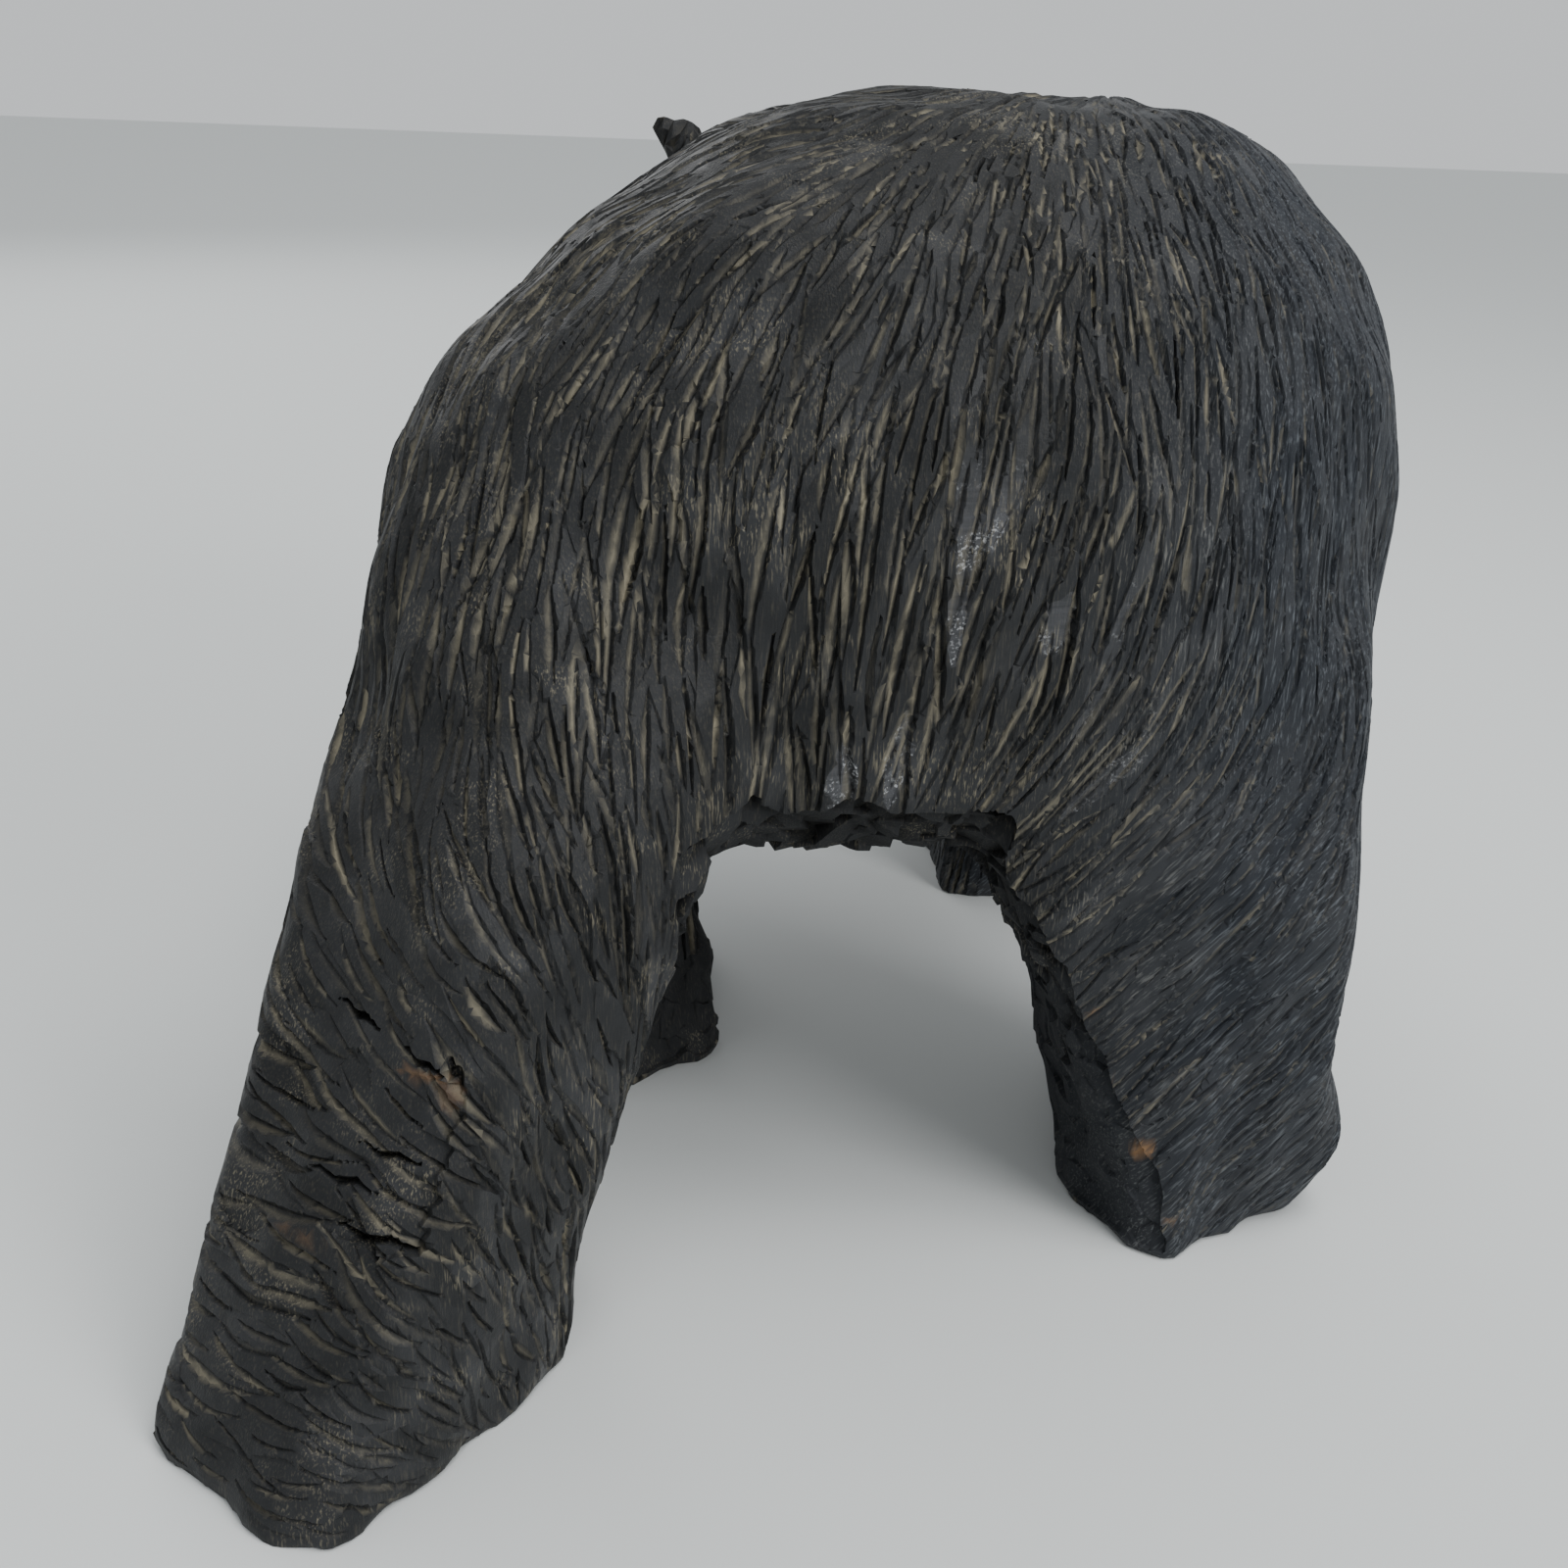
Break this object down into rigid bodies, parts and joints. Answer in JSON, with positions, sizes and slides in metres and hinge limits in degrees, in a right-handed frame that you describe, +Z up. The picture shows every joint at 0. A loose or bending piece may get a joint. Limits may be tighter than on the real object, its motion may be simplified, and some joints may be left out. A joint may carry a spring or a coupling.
{
  "type": "carved wooden bear",
  "caption": "Bear walking on all fours, carved from one block of black-stained wood with gouged fur, a chopped arch between the legs and flat sawn soles.",
  "frame": {"origin": "On the ground under the middle of the bear's bounding box.", "axes": "+Z up; the bear faces -Y, so +Y runs from the nose to the tail end; +X is the bear's own left side."},
  "size_m": [0.2662, 0.3788, 0.2344],
  "materials": {
    "stained_wood": "satin"
  },
  "bodies": {
    "root": {"carved_bear": "stained_wood"}
  },
  "joints": []
}
